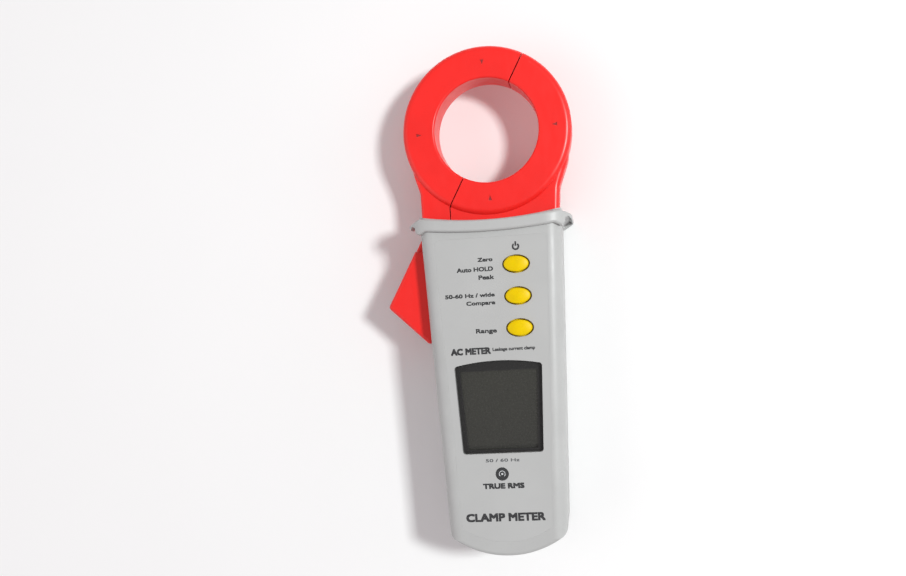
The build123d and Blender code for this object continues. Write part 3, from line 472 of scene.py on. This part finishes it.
def power_sign():
    x, y = middle("power_key").x + 0.2 * MM, middle("power_key").y + 6.4 * MM
    arc = ring_points(x, y, 1.4 * MM, 122, 418, 30) + ring_points(x, y, 0.75 * MM, 418, 122, 30)
    left, right, low, high = x - 0.3 * MM, x + 0.3 * MM, y + 0.2 * MM, y + 1.9 * MM
    bar = [(left, low), (right, low), (right, high), (left, high)]
    for name, outline in (("power_sign_arc", arc), ("power_sign_bar", bar)):
        slab(name, [outline], FACE_Z, FACE_Z + PRINT_THICK, INK, "housing")


def conductor_sign():
    """A black disc with a pale jaw and conductor."""
    x, y = -0.8 * MM, along(129.3)
    disc = ring_points(x, y, 2.45 * MM)
    slab("conductor_sign_disc", [disc], FACE_Z, FACE_Z + PRINT_THICK, INK, "housing")
    jaw = ring_points(x, y, 1.2 * MM, -50, 230, 30) + ring_points(x, y, 1.0 * MM, 230, -50, 30)
    dot = ring_points(x, y, 0.35 * MM, steps=20)
    for name, outline in (("conductor_sign_jaw", jaw), ("conductor_sign_dot", dot)):
        slab(name, [outline], FACE_Z, FACE_Z + 2 * PRINT_THICK, INK_PALE, "housing")


def jaw_mark_shades():
    """Painted shade: dark red sheets in the arrowheads that centre a conductor, standing for the shade in
    their recesses.
    """
    for angle, body in ((0, "housing"), (90, "moving_jaw"), (180, "moving_jaw"), (270, "housing")):
        turn = math.radians(angle)
        outline = []
        for r, s in ((MARK_TIP, 0.0), (MARK_BASE, -MARK_HALF), (MARK_BASE, MARK_HALF)):
            x = r * math.cos(turn) - s * math.sin(turn)
            y = r * math.sin(turn) + s * math.cos(turn)
            outline.append((x * MM, JAW_Y + y * MM))
        for side, low in (("front", RING_Z[1] - 0.4 * MM), ("rear", RING_Z[0] + 0.25 * MM)):
            name = f"jaw_mark_{side}_{angle}"
            # painted shade: a dark red sheet at the bottom of the arrowhead's recess
            slab(name, [outline], low, low + SHADE_SHEET_THICK, MARK_SHADE_RED, body)


def back_print():
    """Plain words on the rating plate, and an arrow on the battery cover."""
    rows = (
        ("LEAKAGE CLAMP METER", 55.0, 1.7),
        ("AC, true rms", 59.6, 1.3),
        ("Aperture 40 mm", 63.0, 1.3),
        ("Power 2 x 1.5 V AAA", 66.4, 1.3),
        ("Indoor use", 71.8, 1.1),
    )
    level = PLATE_Z - PRINT_THICK / 2
    for n, (text, station, cap) in enumerate(rows):
        name = f"plate_words_{n}"
        words(name, text, 0, along(station), cap, bold=0.08, align="CENTER", under=True, z=level)
    y = middle("battery_cover").y
    arrow = [(-2.4, 1.6), (2.4, 1.6), (0.0, -2.4)]
    outline = [(a * MM, y + b * MM) for a, b in arrow]
    low, high = COVER_Z + 0.001 * MM, COVER_Z + PRINT_THICK
    slab("cover_arrow", [outline], low, high, INK_GREY, "housing")


# ---- floor and light
def make_floor():
    mesh = bpy.data.meshes.new("floor")
    reach = 3.0
    corners = [(x * reach, y * reach, FLOOR_Z) for x, y in ((-1, -1), (1, -1), (1, 1), (-1, 1))]
    mesh.from_pydata(corners, [], [(0, 1, 2, 3)])
    floor = bpy.data.objects.new("floor", mesh)
    bpy.context.collection.objects.link(floor)
    tree = Tree("floor_paper", Specular_IOR_Level=0.3)
    tone = tree.mix(tree.noise(9.0, 3.0), (0.86, 0.86, 0.86, 1), (0.885, 0.885, 0.885, 1))
    gloss = tree.spread(tree.noise(60.0), 0.3, 0.7, 0.5, 0.6)
    mesh.materials.append(tree.finish(tone, gloss, tree.bump(tree.noise(900.0, 3.0), 0.04, 0.1 * MM)))


def area_light(name, toward, distance, size, power, color=(1, 1, 1)):
    """A square soft light at a distance from the middle of the meter, in the direction given by toward."""
    data = bpy.data.lights.new(name, "AREA")
    data.size, data.energy, data.color = size, power, color
    light = bpy.data.objects.new(name, data)
    bpy.context.collection.objects.link(light)
    direction = Vector(toward).normalized()
    light.location = Vector((0, 0.02, 0)) + direction * distance
    light.rotation_euler = direction.to_track_quat("Z", "Y").to_euler()


def make_light():
    world = bpy.data.worlds.new("studio")
    world.use_nodes = True
    sky = world.node_tree.nodes["Background"]
    sky.inputs["Color"].default_value = (1.0, 0.925, 0.95, 1)
    sky.inputs["Strength"].default_value = 0.46
    bpy.context.scene.world = world
    area_light("key", (0.52, 0.12, 0.80), 1.3, 0.17, 12.4, (0.96, 1.0, 0.99))
    area_light("side", (0.95, 0.25, 0.30), 1.2, 0.6, 1.2)
    area_light("fill", (-0.90, -0.10, 0.70), 1.1, 0.9, 2.2)
    bpy.context.scene.view_settings.view_transform = "Standard"


make_camera()
finish_frame()
wound_spring()
flexed_leads()
face_print()
power_sign()
conductor_sign()
jaw_mark_shades()
back_print()
make_floor()
make_light()
